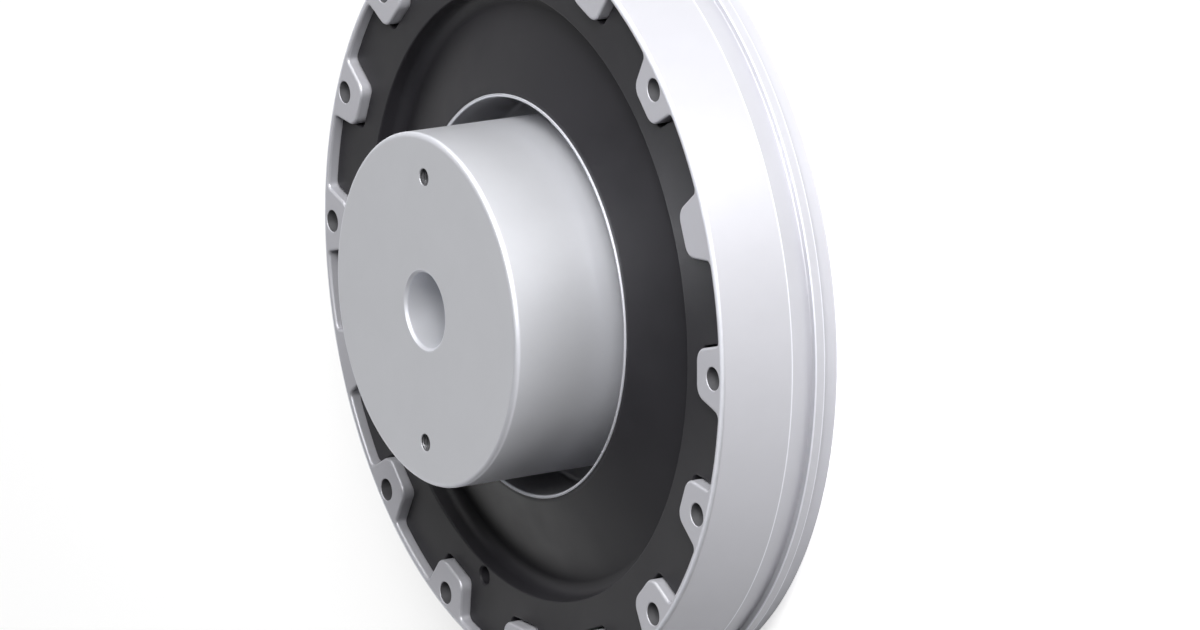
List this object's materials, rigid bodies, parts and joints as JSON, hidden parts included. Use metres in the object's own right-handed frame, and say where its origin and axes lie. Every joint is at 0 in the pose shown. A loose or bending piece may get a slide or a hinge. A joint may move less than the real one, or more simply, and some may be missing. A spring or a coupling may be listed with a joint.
{
  "type": "flexible coupling",
  "caption": "Rubber-disc flexible coupling: a lugged aluminium ring for a flywheel, a toothed rubber disc bonded to a steel sleeve, and a bored steel hub.",
  "frame": {"origin": "centre of the outer ring's rear face, which is the face that seats on the flywheel and that the part rests on", "axes": "+Z along the coupling's axis out of the hub's nose; +X through a lug with no bolt hole"},
  "size_m": [0.4746, 0.4746, 0.1364],
  "materials": {
    "cast_aluminium": "fine machined satin, light grey",
    "rubber": "matt moulded black-grey rubber",
    "sleeve_steel": "turned satin steel",
    "hub_steel": "fine turned satin steel",
    "fastener_steel": "black oxide",
    "washer_steel": "zinc plated"
  },
  "bodies": {
    "root": {"outer_ring": "cast_aluminium", "rubber_disc": "rubber", "bonded_sleeve": "sleeve_steel", "hub": "hub_steel", "hub_screw_1": "fastener_steel", "hub_screw_2": "fastener_steel", "hub_screw_3": "fastener_steel", "hub_screw_4": "fastener_steel", "hub_screw_5": "fastener_steel", "hub_screw_6": "fastener_steel", "hub_screw_7": "fastener_steel", "hub_screw_8": "fastener_steel", "hub_screw_9": "fastener_steel", "hub_screw_10": "fastener_steel", "hub_screw_11": "fastener_steel", "hub_screw_12": "fastener_steel", "hub_washer_1": "washer_steel", "hub_washer_2": "washer_steel", "hub_washer_3": "washer_steel", "hub_washer_4": "washer_steel", "hub_washer_5": "washer_steel", "hub_washer_6": "washer_steel", "hub_washer_7": "washer_steel", "hub_washer_8": "washer_steel", "hub_washer_9": "washer_steel", "hub_washer_10": "washer_steel", "hub_washer_11": "washer_steel", "hub_washer_12": "washer_steel"}
  },
  "joints": []
}
